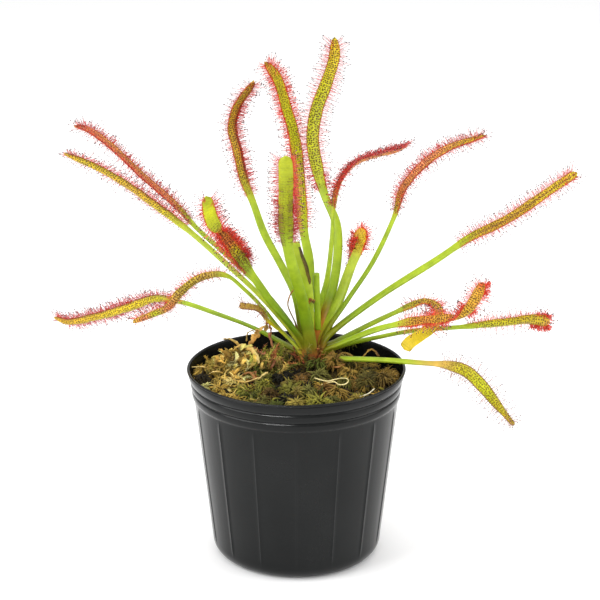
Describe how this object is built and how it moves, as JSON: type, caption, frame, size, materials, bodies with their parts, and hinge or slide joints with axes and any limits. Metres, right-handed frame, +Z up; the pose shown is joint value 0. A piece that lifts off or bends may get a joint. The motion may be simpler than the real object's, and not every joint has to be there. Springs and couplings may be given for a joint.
{
  "type": "potted cape sundew",
  "caption": "Potted cape sundew: strap leaves with sticky red tentacles rising from mossy medium in a thin black nursery pot",
  "frame": {"origin": "middle of the pot's flat base, on the surface that it stands on", "axes": "+Z up; +Y away from the plant's front, +X to the right of the front"},
  "size_m": [0.2255, 0.1066, 0.21],
  "materials": {
    "pot_plastic": "satin black polyethylene",
    "moss": "damp moss and fibre",
    "stem_bark": "reddish-brown old leaf bases",
    "leaf": "green petiole and yellow-green blade with red glandular tentacles",
    "withered": "dry brown leaf",
    "fibre": "pale dry fibre"
  },
  "bodies": {
    "root": {"pot": "pot_plastic", "growing_medium": "moss", "stem": "stem_bark", "leaf_far_left_low": "leaf", "leaf_left_curled": "leaf", "leaf_left": "leaf", "leaf_left_high": "leaf", "leaf_front_left": "leaf", "leaf_back_left": "leaf", "leaf_back": "leaf", "leaf_front": "leaf", "leaf_back_tall": "leaf", "leaf_right_arched": "leaf", "leaf_right_high": "leaf", "leaf_right": "leaf", "leaf_back_right_hooked": "leaf", "leaf_right_curled": "leaf", "leaf_right_upturned": "leaf", "leaf_right_level": "leaf", "leaf_right_drooping": "leaf", "leaf_small": "leaf", "petiole_stub": "leaf", "flower_stalk_stub": "leaf", "withered_leaves": "withered", "fibre_loop": "fibre"}
  },
  "joints": []
}
